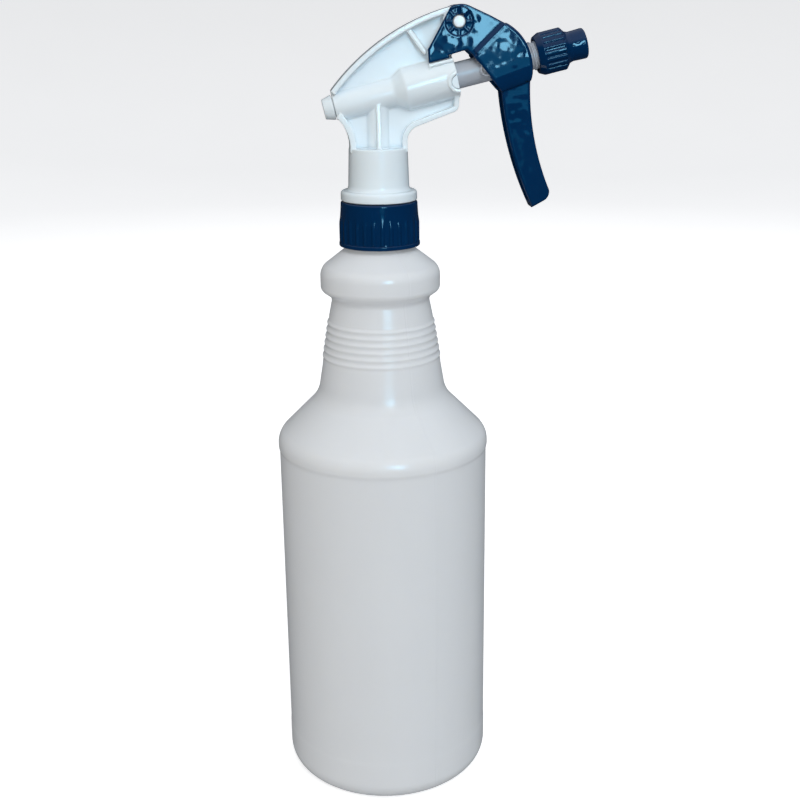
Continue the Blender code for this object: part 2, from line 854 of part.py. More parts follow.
def make_trigger(look):
    body = fuse(
        slab(from_pivot(shoulder_outline()), 6.9),
        slab(from_pivot(yoke_outline()), 7.9),
        slab(from_pivot(handle_outline()), 5.2),
    )
    saddle = [(15, 300), (15, 336), (38.6, 336), (38.6, 327.5), (43.8, 324.9), (48.6, 322.4), (36.0, 306.0)]
    back = [(x - 14, z - 3) for x, z in (handle_back()[-1], handle_back()[0])]
    channel = offset_line(handle_front(), -1.7)
    hollow = [(59.0, 303.0)] + channel[1:-1] + [(62.0, 254.8), back[1], back[0]]
    cuts = [
        slab(from_pivot(saddle), RIM_HALF + GAP + 0.05),
        slab(from_pivot(tube_slot()), 6.3),
        slab(from_pivot(hollow), 3.7),
        disc_y((0, 0), STUB_R + GAP, 10.0, 24),
        knuckle_wedge(-1),
        knuckle_wedge(1),
        *both_sides(from_pivot(trunnion_slot()), 6.0, 7.25),
    ]
    for wedge in spoked_recess():
        cuts += both_sides(wedge, 6.4, 8.0)
    return add(cut(body, *cuts), "trigger", look, at=(PIVOT[0], 0, PIVOT[1]))


def main():
    clear_scene()
    natural = material("natural_hdpe", (0.80, 0.80, 0.77), 0.42, transmission=0.3)
    navy = material("navy_gloss_plastic", (0.004, 0.070, 0.140), 0.16)
    white = material("white_gloss_plastic", (0.86, 0.88, 0.90), 0.22)
    tube = material("natural_tube_plastic", (0.56, 0.59, 0.63), 0.35, transmission=0.2)
    clear = material("clear_tube_plastic", (0.85, 0.87, 0.88), 0.25, transmission=0.6)
    seal = material("seal_rubber", (0.03, 0.03, 0.03), 0.6)
    foam = material("gasket_foam", (0.75, 0.75, 0.72), 0.8)
    steel = material("stainless_steel", (0.62, 0.62, 0.62), 0.22, metallic=1.0)

    make_bottle(natural)
    make_closure(navy)
    make_bottle_gasket(foam)
    make_neck_insert(tube)
    make_inlet_ball(steel)
    make_dip_tube(clear)
    make_strainer(tube)
    make_sprayer_body(white)

    barrel_axis = empty("barrel_axis", barrel_matrix())
    piston_axis = empty("piston_axis", barrel_matrix())
    make_rear_plug(white, barrel_axis)
    make_front_bushing(white, barrel_axis)
    coil("return_spring", steel, piston_axis, 3.05, 0.4, -14.3, 19.2, 11, 10)
    make_piston_tube(tube, piston_axis)
    make_piston_head(tube, piston_axis)
    make_piston_seal(seal, piston_axis)
    make_outlet_ball(steel, piston_axis)
    coil("outlet_spring", steel, piston_axis, 1.6, 0.2, 64.3, 68.1, 5, 8)
    make_swirl_insert(tube, piston_axis)
    make_nozzle_seal(seal, piston_axis)
    make_nozzle_cap(navy, piston_axis)
    make_trigger(navy)


main()
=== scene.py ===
"""Looks for the trigger spray bottle: finer copies of the visible pieces, materials, light and camera.

Shapes are made in millimetres and turned into metres by finish_piece().
"""

import json
import math

import bmesh
import bpy
from mathutils import Matrix, Vector


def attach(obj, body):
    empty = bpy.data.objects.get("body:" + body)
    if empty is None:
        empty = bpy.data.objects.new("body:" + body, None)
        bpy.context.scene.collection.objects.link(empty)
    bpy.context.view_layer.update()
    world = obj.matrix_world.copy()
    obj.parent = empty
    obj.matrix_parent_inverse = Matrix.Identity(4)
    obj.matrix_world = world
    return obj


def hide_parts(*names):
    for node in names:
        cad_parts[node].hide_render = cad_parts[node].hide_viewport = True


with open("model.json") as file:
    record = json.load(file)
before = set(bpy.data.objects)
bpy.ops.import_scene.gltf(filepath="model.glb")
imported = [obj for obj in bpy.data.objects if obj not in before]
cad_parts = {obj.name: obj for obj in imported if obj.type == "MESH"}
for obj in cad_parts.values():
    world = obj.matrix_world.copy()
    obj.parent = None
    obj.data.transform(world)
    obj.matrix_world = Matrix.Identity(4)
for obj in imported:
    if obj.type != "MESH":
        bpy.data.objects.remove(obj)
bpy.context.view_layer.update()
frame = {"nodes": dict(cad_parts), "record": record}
MM = 0.001
GAP = 0.3
FULL_TURN = 2 * math.pi

# Bottle and closure
BOTTLE_R = 44.45
PANEL_R = 44.3
WALL = 1.1
HEEL_RADIUS = 9.0
SHOULDER_R = 44.75
SHOULDER_Z = 156.6
NECK_CONE_Z = 174.5
RIB_COUNT = 6
RIB_PITCH = 2.82
FIRST_RIB_Z = 191.4
COLLAR_R = 24.75
MOUTH_Z = 250.0
MOUTH_R = 10.75
FINISH_R = 12.65
THREAD_DEPTH = 1.1
THREAD_PITCH = 4.233
THREAD_START_Z = 238.6
THREAD_TURNS = 1.35
SEAM_HEADING = -66.0
SEAM_HALF_WIDTH = 0.45
CLOSURE_BOTTOM_Z = 237.2
CLOSURE_TOP_Z = 255.3
CLOSURE_R = 15.9
CLOSURE_RIBS = 28
CLOSURE_THREAD_R = FINISH_R + THREAD_DEPTH + GAP
NECK_BOTTOM_Z = 253.5
NECK_BORE_R = 9.3
FLANGE_Z = 255.6
FLANGE_TOP_Z = 259.6
FLANGE_R = 15.5
SPIGOT_R = 11.2
NECK_TOP_Z = 276.4

# Pump barrel, nozzle and trigger
BARREL_TILT = math.radians(13.2)
BARREL_Z = 296.5
BARREL_REAR_S = -17.7
BARREL_FRONT_S = 32.0
REAR_R = 5.8
BARREL_R = 8.4
BUSHING_SEAT_S = 22.6
BUSHING_SEAT_R = 7.2
PLUG_R = 4.9
PLUG_PIN_R = 3.7
LUG_HEIGHT = -1.8
LEDGE_S = 22.0
LEDGE_H = 7.3
WEB_HALF = 1.2
RIM_HALF = 5.0
RIM_THICK = 2.0
PIVOT = (31.8, 324.5)
STUB_R = 2.3
HUB_R = 5.5
SPOKES = 8
SHOULDER_HALF = 6.9
YOKE_HALF = 7.9
HANDLE_HALF = 5.2
HANDLE_HOLLOW_HALF = 3.7
HANDLE_WALL = 1.7
GROOVE_LINE = ((38.2, 312.2), (50.0, 323.6))
STEP_LINE = ((49.0, 297.7), (60.6, 301.8))
HANDLE_TIP = (69.3, 258.6)
TRUNNION_S = 43.8
TRUNNION_R = 2.5
TUBE_R = 5.2
TUBE_THREAD_PITCH = 2.1
TUBE_THREAD_DEPTH = 0.55
TUBE_THREAD_S = 61.0
TUBE_END_S = 73.0
TUBE_ROOT_R = TUBE_R - 0.05
NOZZLE_THREAD_R = TUBE_ROOT_R + TUBE_THREAD_DEPTH + GAP
NOZZLE_REAR_S = 65.0
NOZZLE_R = 8.3
NOZZLE_RIBS = 20
SNOUT_R = 5.9
NOZZLE_END_S = 85.44

# Stage
FLOOR_DROP = 0.4
FLOOR_R = 1800.0
FLOOR_CURVE = 1200.0


# Materials


def new_material(name):
    made = bpy.data.materials.new(name)
    made.use_nodes = True
    nodes = made.node_tree.nodes
    return made, nodes, made.node_tree.links, nodes["Principled BSDF"]


def noise(nodes, links, scale, detail, stretch=(1.0, 1.0, 1.0)):
    """A noise over the object's own coordinates, in metres. A stretch below 1 draws it out that way."""
    place = nodes.new("ShaderNodeTexCoord")
    mapping = nodes.new("ShaderNodeMapping")
    mapping.inputs["Scale"].default_value = stretch
    links.new(place.outputs["Object"], mapping.inputs["Vector"])
    made = nodes.new("ShaderNodeTexNoise")
    made.inputs["Scale"].default_value = scale
    made.inputs["Detail"].default_value = detail
    links.new(mapping.outputs["Vector"], made.inputs["Vector"])
    return made.outputs["Fac"]


def between(nodes, links, factor, low, high):
    """A number that goes from low to high over the middle of the noise's range."""
    made = nodes.new("ShaderNodeMapRange")
    made.inputs["From Min"].default_value = 0.3
    made.inputs["From Max"].default_value = 0.7
    made.inputs["To Min"].default_value = low
    made.inputs["To Max"].default_value = high
    links.new(factor, made.inputs["Value"])
    return made.outputs["Result"]


def colours(nodes, links, factor, low, high):
    """A colour that goes from low to high as the noise does."""
    made = nodes.new("ShaderNodeMix")
    made.data_type = "RGBA"
    made.inputs["A"].default_value = (*low, 1.0)
    made.inputs["B"].default_value = (*high, 1.0)
    links.new(factor, made.inputs["Factor"])
    return made.outputs["Result"]


def bump(nodes, links, shader, layers):
    """Stacks bump layers of (height, strength, distance in millimetres) on the shader's normal."""
    last = None
    for height, strength, distance in layers:
        made = nodes.new("ShaderNodeBump")
        made.inputs["Strength"].default_value = strength
        made.inputs["Distance"].default_value = distance * MM
        links.new(height, made.inputs["Height"])
        if last:
            links.new(last, made.inputs["Normal"])
        last = made.outputs["Normal"]
    links.new(last, shader.inputs["Normal"])


def plastic(name, low, high, roughness, orange_peel, scatter=0.0, waves=0.1):
    """Moulded plastic: faint clouds in the colour, uneven gloss, orange peel and slow waves."""
    made, nodes, links, shader = new_material(name)
    cloud = noise(nodes, links, 70.0, 4.0)
    links.new(colours(nodes, links, cloud, low, high), shader.inputs["Base Color"])
    smear = noise(nodes, links, 260.0, 5.0, (1.0, 1.0, 0.35))
    links.new(between(nodes, links, smear, *roughness), shader.inputs["Roughness"])
    peel = noise(nodes, links, 1900.0, 2.0)
    wave = noise(nodes, links, 170.0, 1.0)
    bump(nodes, links, shader, [(wave, waves, 0.25), (peel, orange_peel, 0.02)])
    shader.inputs["IOR"].default_value = 1.5
    if scatter:
        shader.inputs["Subsurface Weight"].default_value = scatter
        shader.inputs["Subsurface Radius"].default_value = (1.0, 0.9, 0.85)
        shader.inputs["Subsurface Scale"].default_value = 0.002
    return made


def navy_plastic():
    """The most polished one, wavy enough to break up what it reflects."""
    return plastic(
        "navy_polypropylene",
        low=(0.0, 0.018, 0.066),
        high=(0.0, 0.025, 0.090),
        roughness=(0.03, 0.07),
        orange_peel=0.02,
        waves=0.6,
    )


def white_plastic():
    return plastic(
        "white_polypropylene",
        low=(0.75, 0.84, 0.90),
        high=(0.79, 0.88, 0.94),
        roughness=(0.08, 0.15),
        orange_peel=0.08,
        scatter=0.3,
    )


def natural_plastic():
    return plastic(
        "natural_polypropylene",
        low=(0.40, 0.44, 0.50),
        high=(0.47, 0.51, 0.57),
        roughness=(0.28, 0.40),
        orange_peel=0.2,
        scatter=0.4,
    )


def mould_seam(nodes, links, heading_deg, half_width):
    """1 where the vertical plane with this heading through the bottle's axis cuts its wall, 0 elsewhere.

    half_width is in millimetres, and the number falls softly to 0 over it.
    """
    place = nodes.new("ShaderNodeTexCoord")
    turn = nodes.new("ShaderNodeMapping")
    turn.inputs["Rotation"].default_value = (0.0, 0.0, math.radians(-heading_deg))
    links.new(place.outputs["Object"], turn.inputs["Vector"])
    split = nodes.new("ShaderNodeSeparateXYZ")
    links.new(turn.outputs["Vector"], split.inputs["Vector"])
    aside = nodes.new("ShaderNodeMath")
    aside.operation = "ABSOLUTE"
    links.new(split.outputs["Y"], aside.inputs[0])
    line = nodes.new("ShaderNodeMapRange")
    line.interpolation_type = "SMOOTHSTEP"
    line.inputs["From Min"].default_value = 0.0
    line.inputs["From Max"].default_value = half_width * MM
    line.inputs["To Min"].default_value = 1.0
    line.inputs["To Max"].default_value = 0.0
    links.new(aside.outputs["Value"], line.inputs["Value"])
    return line.outputs["Result"]


def bottle_plastic():
    """Blow-moulded natural polyethylene: milky, satin, with a mould seam.

    The slight emission stands for the light that the far wall passes on.
    """
    made, nodes, links, shader = new_material("milky_polyethylene")
    cloud = noise(nodes, links, 22.0, 4.0, (1.0, 1.0, 0.4))
    tone = colours(nodes, links, cloud, (0.59, 0.61, 0.63), (0.65, 0.67, 0.69))
    links.new(tone, shader.inputs["Base Color"])
    smear = noise(nodes, links, 160.0, 0.0, (1.0, 1.0, 0.08))
    grain = noise(nodes, links, 2600.0, 2.0)
    links.new(between(nodes, links, smear, 0.17, 0.24), shader.inputs["Roughness"])
    slow = noise(nodes, links, 45.0, 2.0, (1.0, 1.0, 0.5))
    seam = mould_seam(nodes, links, SEAM_HEADING, SEAM_HALF_WIDTH)
    bump(nodes, links, shader, [(seam, 0.5, 0.12), (slow, 0.35, 0.5), (grain, 0.3, 0.02)])
    shader.inputs["Subsurface Weight"].default_value = 0.55
    shader.inputs["Subsurface Radius"].default_value = (1.0, 0.92, 0.8)
    shader.inputs["Subsurface Scale"].default_value = 0.008
    shader.inputs["Emission Color"].default_value = (0.92, 0.96, 1.0, 1.0)
    shader.inputs["Emission Strength"].default_value = 0.13
    shader.inputs["IOR"].default_value = 1.5
    return made


def clear_plastic():
    made, nodes, links, shader = new_material("clear_tubing")
    cloud = noise(nodes, links, 300.0, 2.0, (1.0, 1.0, 0.1))
    tone = colours(nodes, links, cloud, (0.82, 0.85, 0.86), (0.90, 0.92, 0.92))
    links.new(tone, shader.inputs["Base Color"])
    links.new(between(nodes, links, cloud, 0.15, 0.25), shader.inputs["Roughness"])
    shader.inputs["Transmission Weight"].default_value = 0.7
    shader.inputs["IOR"].default_value = 1.49
    return made


def rubber(name, low, high):
    made, nodes, links, shader = new_material(name)
    cloud = noise(nodes, links, 500.0, 4.0)
    links.new(colours(nodes, links, cloud, low, high), shader.inputs["Base Color"])
    links.new(between(nodes, links, cloud, 0.55, 0.8), shader.inputs["Roughness"])
    bump(nodes, links, shader, [(noise(nodes, links, 4000.0, 3.0), 0.4, 0.03)])
    return made


def steel():
    made, nodes, links, shader = new_material("stainless_steel_wire")
    drawn = noise(nodes, links, 900.0, 3.0, (1.0, 1.0, 0.3))
    tone = colours(nodes, links, drawn, (0.52, 0.52, 0.53), (0.68, 0.68, 0.67))
    links.new(tone, shader.inputs["Base Color"])
    links.new(between(nodes, links, drawn, 0.16, 0.32), shader.inputs["Roughness"])
    shader.inputs["Metallic"].default_value = 1.0
    return made


# Raw objects


def raw_object(bm, name="raw"):
    """The bmesh as an object whose mesh is still in millimetres."""
    bmesh.ops.recalc_face_normals(bm, faces=bm.faces)
    mesh = bpy.data.meshes.new(name)
    bm.to_mesh(mesh)
    bm.free()
    obj = bpy.data.objects.new(name, mesh)
    bpy.context.scene.collection.objects.link(obj)
    return obj


def applied(obj):
    """Applies every modifier on the object."""
    bpy.context.view_layer.update()
    graph = bpy.context.evaluated_depsgraph_get()
    mesh = bpy.data.meshes.new_from_object(obj.evaluated_get(graph))
    obj.modifiers.clear()
    obj.data = mesh
    return obj


def combine(target, others, operation):
    """Joins the others to the target, or takes them out of it, and uses them up."""
    for number, other in enumerate(others):
        step = target.modifiers.new(f"{operation}_{number}", "BOOLEAN")
        step.operation = operation
        step.solver = "EXACT"
        step.object = other
    applied(target)
    for other in others:
        bpy.data.objects.remove(other, do_unlink=True)
    return target


def fuse(target, *others):
    return combine(target, others, "UNION")


def cut(target, *others):
    return combine(target, others, "DIFFERENCE")


def round_sides(obj, width, segments=4):
    """Rounds the edges between a slab's two flat sides and its outline."""
    bm = bmesh.new()
    bm.from_mesh(obj.data)
    rims = [edge for edge in bm.edges if abs(edge.verts[0].co.y - edge.verts[1].co.y) < 1e-5]
    bmesh.ops.bevel(
        bm,
        geom=rims,
        offset=width,
        segments=segments,
        profile=0.5,
        affect="EDGES",
        clamp_overlap=True,
    )
    bm.to_mesh(obj.data)
    bm.free()
    return obj


def soften(obj, voxel, passes, keep):
    """Melts the pieces of a moulding together and rounds its edges, then thins the mesh out."""
    melt = obj.modifiers.new("melt", "REMESH")
    melt.mode = "VOXEL"
    melt.voxel_size = voxel
    relax = obj.modifiers.new("relax", "SMOOTH")
    relax.factor = 0.5
    relax.iterations = passes
    thin = obj.modifiers.new("thin", "DECIMATE")
    thin.ratio = keep
    return applied(obj)


def finish_piece(obj, name, node, body, look, smooth_below=180.0):
    """Turns the raw object into metres and makes it stand for its CAD node."""
    obj.name = name
    obj.data.name = name
    obj.data.transform(Matrix.Scale(MM, 4))
    obj.data.materials.clear()
    obj.data.materials.append(look)
    obj.data.shade_smooth()
    if smooth_below < 180.0:
        obj.data.set_sharp_from_angle(angle=math.radians(smooth_below))
    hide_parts(node)
    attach(obj, body)


# Outlines


def on_barrel(s, height):
    """(x, z) of the point at s along the barrel's axis and this height above it."""
    x = s * math.cos(BARREL_TILT) - height * math.sin(BARREL_TILT)
    z = BARREL_Z + s * math.sin(BARREL_TILT) + height * math.cos(BARREL_TILT)
    return x, z


def barrel_matrix():
    """Takes local Z to the barrel's axis and local -X to the side of it that faces up."""
    turn = Matrix.Rotation(math.pi / 2 - BARREL_TILT, 4, "Y")
    return Matrix.Translation((0, 0, BARREL_Z)) @ turn


def arc(centre, radius, start_deg, end_deg, steps):
    """Points of an arc, both ends included."""
    angles = [math.radians(start_deg + (end_deg - start_deg) * i / steps) for i in range(steps + 1)]
    return [(centre[0] + radius * math.cos(a), centre[1] + radius * math.sin(a)) for a in angles]


def arc_through(a, b, c, steps):
    """Points of the arc from a through b to c, both ends included."""
    ax, ay = a
    bx, by = b
    cx, cy = c
    d = 2 * (ax * (by - cy) + bx * (cy - ay) + cx * (ay - by))
    a2, b2, c2 = ax * ax + ay * ay, bx * bx + by * by, cx * cx + cy * cy
    ux = (a2 * (by - cy) + b2 * (cy - ay) + c2 * (ay - by)) / d
    uy = (a2 * (cx - bx) + b2 * (ax - cx) + c2 * (bx - ax)) / d
    first = math.atan2(ay - uy, ax - ux)
    middle = (math.atan2(by - uy, bx - ux) - first) % (2 * math.pi)
    sweep_angle = (math.atan2(cy - uy, cx - ux) - first) % (2 * math.pi)
    if middle > sweep_angle:
        sweep_angle -= 2 * math.pi
    start = math.degrees(first)
    return arc((ux, uy), math.hypot(ax - ux, ay - uy), start, start + math.degrees(sweep_angle), steps)


def rounded(points, radii, steps):
    """An open outline with the corners between its ends rounded to these radii, in order."""
    out = [points[0]]
    for before, corner, after, radius in zip(points, points[1:], points[2:], radii):
        if not radius:
            out.append(corner)
            continue
        a = Vector(before) - Vector(corner)
        b = Vector(after) - Vector(corner)
        half = a.angle(b) / 2
        length = radius / math.tan(half)
        start = Vector(corner) + a.normalized() * length
        end = Vector(corner) + b.normalized() * length
        centre = Vector(corner) + (a.normalized() + b.normalized()).normalized() * radius / math.sin(half)
        middle = centre + (Vector(corner) - centre).normalized() * radius
        out += arc_through(tuple(start), tuple(middle), tuple(end), steps)
    return out + [points[-1]]


def offset_line(points, distance):
    """The open line of points, moved sideways by distance to its left."""
    out = []
    for i, point in enumerate(points):
        before = Vector(points[max(i - 1, 0)])
        after = Vector(points[min(i + 1, len(points) - 1)])
        along = (after - before).normalized()
        out.append((point[0] - along.y * distance, point[1] + along.x * distance))
    return out


def ribbon(points, thickness):
    """A closed outline that follows the open line, with its thickness to the line's left."""
    return points + offset_line(points, thickness)[::-1]


def capsule(a, b, width):
    """A bar from a to b with round ends."""
    heading = math.degrees(math.atan2(b[1] - a[1], b[0] - a[0]))
    far_end = arc(b, width / 2, heading - 90, heading + 90, 10)
    near_end = arc(a, width / 2, heading + 90, heading + 270, 10)
    return far_end + near_end


def levels(low, high, step):
    """Heights from low to high, evenly spaced by about step."""
    count = round((high - low) / step)
    return [low + (high - low) * i / count for i in range(count + 1)]


# Solids


def lathe(profile, steps, shape=None, place=None):
    """Turns (radius, height) points round Z. shape(radius, height, angle) gives each point's own radius."""
    bm = bmesh.new()
    verts = [bm.verts.new((radius, 0, height)) for radius, height in profile]
    ends_on_axis = profile[0][0] == 0 and profile[-1][0] == 0
    pairs = list(zip(verts, verts[1:])) + ([] if ends_on_axis else [(verts[-1], verts[0])])
    edges = [bm.edges.new(pair) for pair in pairs]
    bmesh.ops.spin(
        bm,
        geom=verts + edges,
        cent=(0, 0, 0),
        axis=(0, 0, 1),
        angle=FULL_TURN,
        steps=steps,
        use_merge=True,
    )
    bmesh.ops.remove_doubles(bm, verts=bm.verts, dist=1e-4)
    if shape:
        for vert in bm.verts:
            radius = math.hypot(vert.co.x, vert.co.y)
            if radius > 1e-3:
                wanted = shape(radius, vert.co.z, math.atan2(vert.co.y, vert.co.x))
                vert.co.x *= wanted / radius
                vert.co.y *= wanted / radius
    if place:
        bm.transform(place)
    return raw_object(bm)


def cylinder(radius, low, high, steps, place=None):
    return lathe([(0, low), (radius, low), (radius, high), (0, high)], steps, place=place)


def sweep(points, travel):
    """A flat face through the points, extruded along travel."""
    bm = bmesh.new()
    face = bm.faces.new([bm.verts.new(point) for point in points])
    made = bmesh.ops.extrude_face_region(bm, geom=[face])
    moved = [item for item in made["geom"] if isinstance(item, bmesh.types.BMVert)]
    bmesh.ops.translate(bm, verts=moved, vec=travel)
    return raw_object(bm)


def prism(outline, low_y, high_y):
    """An outline of (x, z) points, extruded from low_y to high_y."""
    return sweep([(x, low_y, z) for x, z in outline], (0, high_y - low_y, 0))


def slab(outline, half):
    return prism(outline, -half, half)


def both_sides(outline, inner, outer):
    """The outline extruded from inner to outer on the near side and on the far side."""
    return [prism(outline, -outer, -inner), prism(outline, inner, outer)]


def disc_y(centre, radius, half, steps):
    """A round disc whose axis runs along Y."""
    return slab(arc(centre, radius, 0, 360 - 360 / steps, steps - 1), half)


def smoothstep(low, high, value):
    """0 up to low, 1 from high on, and a soft rise between."""
    t = min(max((value - low) / (high - low), 0.0), 1.0)
    return t * t * (3 - 2 * t)


def trapezoid(phase, top, base):
    """1 within top of the middle of a pitch, 0 beyond base, a soft flank between."""
    return 1.0 - smoothstep(top, base, abs(phase - 0.5))


def thread_bump(angle, height, start, pitch, turns, top, base):
    """How far a screw thread stands out here, from 0 to 1, fading out over its ends."""
    round_share = (angle % FULL_TURN) / FULL_TURN
    rise = (height - start) / pitch - round_share
    turn = math.floor(rise) + round_share
    fade = min(max(min(turn, turns - turn) / 0.1, 0.0), 1.0)
    return fade * trapezoid(rise - math.floor(rise), top, base)


# Bottle and closure


def neck_wall(z):
    """The neck's own radius, a cone that narrows upwards."""
    return 24.5 - 0.165 * (z - 190)


def rib_radius(z):
    """The neck's radius with its grip ribs, each one a soft roll, fading out at both ends of the run."""
    phase = (z - FIRST_RIB_Z) / RIB_PITCH
    inside = smoothstep(-0.75, -0.35, phase) * (1 - smoothstep(RIB_COUNT - 0.65, RIB_COUNT - 0.25, phase))
    roll = (0.5 + 0.5 * math.cos(FULL_TURN * (phase + 0.08))) ** 1.4
    return neck_wall(z) + inside * (0.06 + 0.46 * roll)


def bottle_outside():
    """From the middle of the base up to the mouth."""
    heel = arc((BOTTLE_R - HEEL_RADIUS, HEEL_RADIUS), HEEL_RADIUS, -90, 0, 16)
    panel = [(BOTTLE_R, z) for z in (12.0, 15.5, 18.4)]
    panel += [(BOTTLE_R - 0.04, 19.2), (PANEL_R + 0.03, 20.2), (PANEL_R, 21.0)]
    panel += [(PANEL_R, z) for z in levels(24.0, 149.0, 10.0)]
    panel += [(PANEL_R, 150.0), (PANEL_R + 0.09, 150.7), (44.66, 151.3)]
    shoulder = rounded(
        [(SHOULDER_R, 152.0), (SHOULDER_R, SHOULDER_Z), (27.0, NECK_CONE_Z), (24.9, 187.0)],
        [8.0, 14.0],
        steps=14,
    )
    ribs = [(rib_radius(z), z) for z in levels(188.4, 207.4, 0.2)]
    collar = rounded(
        [
            (21.6, 208.0),
            (20.0, 215.8),
            (COLLAR_R, 219.2),
            (COLLAR_R, 227.9),
            (15.3, 235.2),
            (FINISH_R, 236.6),
        ],
        [3.0, 2.6, 6.0, 2.0],
        steps=10,
    )
    finish = [(FINISH_R, z) for z in levels(237.4, 247.0, 0.4)]
    lip = [(FINISH_R, 249.2), (FINISH_R - 0.2, 249.8), (FINISH_R - 0.5, MOUTH_Z), (MOUTH_R, MOUTH_Z)]
    return [(0, 0), (34.0, 0)] + heel + panel + shoulder + ribs + collar + finish + lip


def bottle_inside():
    """From the mouth back down to the middle of the base."""
    inner_r = BOTTLE_R - WALL
    heel = arc((inner_r - 7.9, HEEL_RADIUS), 7.9, 0, -90, 8)
    return [
        (MOUTH_R, 236.4),
        (14.7, 234.2),
        (21.7, 228.9),
        (23.6, 225.4),
        (23.6, 220.6),
        (18.9, 216.0),
        (20.5, 207.6),
        (23.3, 189.0),
        (26.5, 173.4),
        (41.5, 158.1),
        (43.2, 152.0),
        *heel,
        (28.0, 1.7),
        (0, 2.6),
    ]


def bottle_thread(radius, height, angle):
    if abs(radius - FINISH_R) > 0.01 or not 237.0 < height < 249.0:
        return radius
    bump_out = thread_bump(angle, height, THREAD_START_Z, THREAD_PITCH, THREAD_TURNS, 0.12, 0.27)
    return radius + THREAD_DEPTH * bump_out


def make_bottle(look):
    raw = lathe(bottle_outside() + bottle_inside(), 144, bottle_thread)
    finish_piece(raw, "bottle_shell", "bottle", "bottle", look, 50.0)


def closure_ribs(radius, height, angle):
    """Narrow rounded ribs down the skirt, dying into it at their upper ends."""
    if radius < CLOSURE_R - 0.25:
        return radius
    run = smoothstep(238.75, 239.3, height) * (1 - smoothstep(245.8, 250.4, height))
    ridge = smoothstep(0.0, 0.8, math.cos(CLOSURE_RIBS * angle))
    return radius + 0.5 * ridge * run


def closure_thread(radius, height, angle):
    """The thread stands in from the cavity's wall, and its groove runs where the bottle's thread is."""
    if abs(radius - CLOSURE_THREAD_R) > 0.01 or not 238.3 < height < 248.5:
        return radius
    rise = (height - THREAD_START_Z) / THREAD_PITCH - (angle % FULL_TURN) / FULL_TURN
    groove = trapezoid(rise - math.floor(rise), 0.25, 0.40)
    return radius - THREAD_DEPTH * (1 - groove)


def make_closure(look):
    ring_r = CLOSURE_R + 0.65
    outside = [(0, CLOSURE_BOTTOM_Z)]
    outside += arc((ring_r - 0.45, CLOSURE_BOTTOM_Z + 0.45), 0.45, -90, 0, 6)
    outside += arc((ring_r - 0.4, 238.5), 0.4, 0, 70, 4)
    outside += [(CLOSURE_R + 0.08, 239.0)]
    outside += [(CLOSURE_R, z) for z in levels(239.3, 249.9, 0.35)]
    outside += [(CLOSURE_R - 0.12, 251.5), (CLOSURE_R - 0.26, 254.0)]
    outside += arc((CLOSURE_R - 1.15, 254.4), 0.9, 5, 90, 7)
    outside += [(0, CLOSURE_TOP_Z)]
    body = lathe(outside, CLOSURE_RIBS * 12, closure_ribs)
    wide = CLOSURE_THREAD_R
    cavity = [(0, 236.0), (wide + GAP, 236.0), (wide + GAP, 237.9)]
    cavity += [(wide, z) for z in levels(238.2, 248.6, 0.4)]
    cavity += [(wide, NECK_BOTTOM_Z), (0, NECK_BOTTOM_Z)]
    raw = cut(body, lathe(cavity, 72, closure_thread), cylinder(SPIGOT_R + GAP, 252.0, 256.0, 72))
    finish_piece(raw, "closure_shell", "closure", "closure", look, 32.0)


# Sprayer body


def top_edge():
    """From the barrel's rear over the back to the pivot."""
    return arc_through((-18.6, 298.6), (2.9, 318.5), (29.1, 330.2), 36)


def left_edge():
    """From the barrel's rear down to the neck."""
    return arc_through((-16.6, 288.6), (-12.9, 283.6), (-11.5, 275.0), 16)


def right_edge():
    """From the neck up its fillet, along the gusset and round the corner under the barrel's front."""
    line = [(11.5, 275.0), (11.5, 283.4), (31.9, 290.8), on_barrel(31.8, -6.5)]
    return rounded(line, [6.0, 2.6], steps=12)


def body_outline():
    """The flat web in the middle plane: neck, under the barrel, round the pivot and back over the top."""
    lobe = arc(PIVOT, 6.1, -48, 112, 24)
    to_pivot = [on_barrel(27.0, 2.0), on_barrel(31.0, 7.0)]
    return left_edge() + right_edge() + to_pivot + lobe + top_edge()[::-1]


def riser_fin(side):
    """The fin down this side of the riser, deeper at the neck than at the barrel."""
    outline = [(3.5, 294.0), (5.2, 294.0), (5.7, 291.0), (8.9, 276.0), (3.5, 276.0)]
    return sweep([(-0.85, side * y, z) for y, z in outline], (1.7, 0, 0))


def bar_outline(start, end, low, high):
    """A rectangle in the barrel's own directions."""
    return [on_barrel(start, low), on_barrel(end, low), on_barrel(end, high), on_barrel(start, high)]


def lug_outline(radius, front):
    """A half disc whose straight side is at this s, by the barrel's front edge."""
    tilt = math.degrees(BARREL_TILT)
    return arc(on_barrel(front, LUG_HEIGHT), radius, 90 + tilt, 270 + tilt, 20)


def neck_profile():
    """The spigot in the closure, the flange above it and the tapered neck."""
    flange = rounded(
        [
            (FLANGE_R - 0.8, FLANGE_Z),
            (FLANGE_R, FLANGE_Z),
            (FLANGE_R, FLANGE_TOP_Z),
            (13.4, FLANGE_TOP_Z + 0.1),
        ],
        [0.4, 1.3],
        steps=6,
    )
    return [
        (0, NECK_BOTTOM_Z),
        (SPIGOT_R, NECK_BOTTOM_Z),
        (SPIGOT_R, FLANGE_Z),
        *flange,
        (12.7, FLANGE_TOP_Z + 0.6),
        (12.35, FLANGE_TOP_Z + 1.6),
        (11.85, NECK_TOP_Z),
        (0, NECK_TOP_Z),
    ]


def barrel_profile():
    """The barrel's shell, filled: a narrow rear, a cone and the wide front."""
    cone = [(REAR_R, 4.0), (REAR_R, 6.8), (BARREL_R, 11.2), (BARREL_R, 15.0)]
    return [
        (0, BARREL_REAR_S),
        (5.2, BARREL_REAR_S),
        (REAR_R, -12.0),
        *rounded(cone, [2.5, 2.0], steps=6),
        (BARREL_R, BARREL_FRONT_S),
        (0, BARREL_FRONT_S),
    ]


